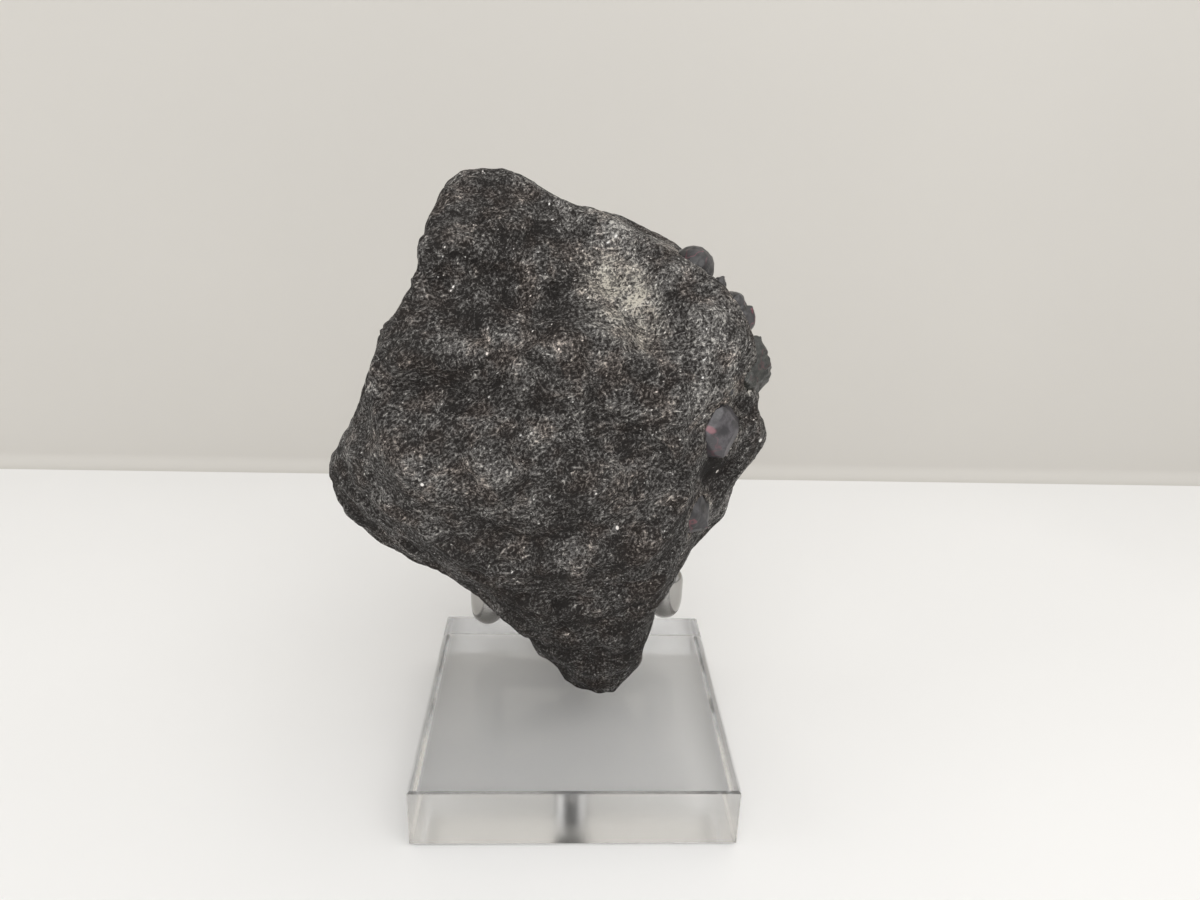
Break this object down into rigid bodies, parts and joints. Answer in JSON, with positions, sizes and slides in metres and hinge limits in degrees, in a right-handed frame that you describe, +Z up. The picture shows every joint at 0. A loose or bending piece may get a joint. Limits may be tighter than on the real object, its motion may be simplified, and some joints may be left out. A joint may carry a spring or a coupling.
{
  "type": "garnet in matrix on a display stand",
  "caption": "Wedge-shaped piece of dark mica schist with garnet crystals on its edge, held point down over a clear block by a bent steel cradle.",
  "frame": {"origin": "middle of the clear block's underside", "axes": "+Z up, -Y towards the front that the picture shows, +X to the right of that view"},
  "size_m": [0.1049, 0.077, 0.1457],
  "materials": {
    "clear_acrylic": "clear, polished",
    "polished_steel": "polished",
    "mica_schist": "rough, with fine glittering flakes",
    "almandine": "smooth, slightly glassy",
    "coated_garnet": "satin, with a greenish skin"
  },
  "bodies": {
    "root": {"acrylic_block": "clear_acrylic", "steel_cradle": "polished_steel", "schist_matrix": "mica_schist", "garnet_dome": "almandine", "garnet_edge_small": "almandine", "garnet_edge_pair": "almandine", "garnet_coated": "coated_garnet", "garnet_small": "almandine", "garnet_large": "almandine", "garnet_lower": "almandine", "garnet_side_upper": "almandine", "garnet_side_lower": "almandine", "garnet_back": "almandine"}
  },
  "joints": []
}
